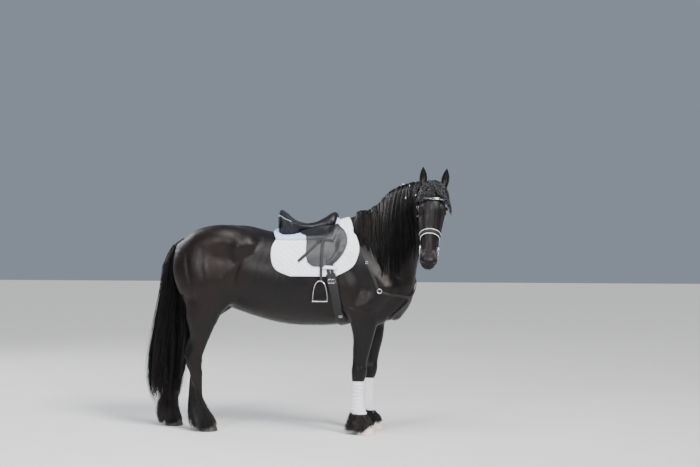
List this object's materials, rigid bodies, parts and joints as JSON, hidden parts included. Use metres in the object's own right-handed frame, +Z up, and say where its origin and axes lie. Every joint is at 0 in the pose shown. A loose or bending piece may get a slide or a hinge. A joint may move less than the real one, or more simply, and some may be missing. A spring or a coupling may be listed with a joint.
{
  "type": "friesian horse",
  "caption": "Black Friesian horse at rest under a dressage saddle, head turned to its right, with a long mane and tail, feathered feet, leg wraps and bridle.",
  "frame": {"origin": "under the middle of the bounding box, at the height of the soles", "axes": "+X forward, from tail to chest; +Y to the horse's left; +Z up"},
  "size_m": [2.413, 0.809, 2.0383],
  "materials": {
    "coat": "glossy black horse hair over skin",
    "long_hair": "long black horse hair",
    "hoof_dark": "dark horn",
    "hoof_pale": "pale, dusty horn",
    "eye": "wet dark brown",
    "black_leather": "polished black",
    "pad_cloth": "white quilted cotton",
    "keeper_web": "white webbing",
    "wrap_cloth": "white fleece",
    "steel": "polished steel"
  },
  "bodies": {
    "root": {"bit_hanger_left": "black_leather", "bit_hanger_right": "black_leather", "bit_ring_left": "steel", "bit_ring_right": "steel", "breast_ring": "steel", "breast_strap_left": "black_leather", "breast_strap_right": "black_leather", "breast_under_strap": "black_leather", "browband": "black_leather", "cheekpiece_left": "black_leather", "cheekpiece_right": "black_leather", "ear_left": "coat", "ear_right": "coat", "eye_left": "eye", "eye_right": "eye", "flap_left": "black_leather", "flap_right": "black_leather", "fore_foot_left": "coat", "fore_foot_right": "coat", "fore_hoof_left": "hoof_pale", "fore_hoof_right": "hoof_pale", "foreleg_left": "coat", "foreleg_right": "coat", "girth": "black_leather", "half_pad": "pad_cloth", "head": "coat", "headpiece": "black_leather", "hind_foot_left": "coat", "hind_foot_right": "coat", "hind_hoof_left": "hoof_dark", "hind_hoof_right": "hoof_dark", "hind_leg_left": "coat", "hind_leg_right": "coat", "keeper_left": "keeper_web", "keeper_right": "keeper_web", "leather_end_left": "black_leather", "leather_end_right": "black_leather", "neck": "coat", "noseband": "black_leather", "saddle_pad": "pad_cloth", "saddle_seat": "black_leather", "stirrup_leather_left": "black_leather", "stirrup_leather_right": "black_leather", "stirrup_left": "steel", "stirrup_right": "steel", "tail": "long_hair", "torso": "coat", "wrap_left": "wrap_cloth", "wrap_right": "wrap_cloth"}
  },
  "joints": []
}
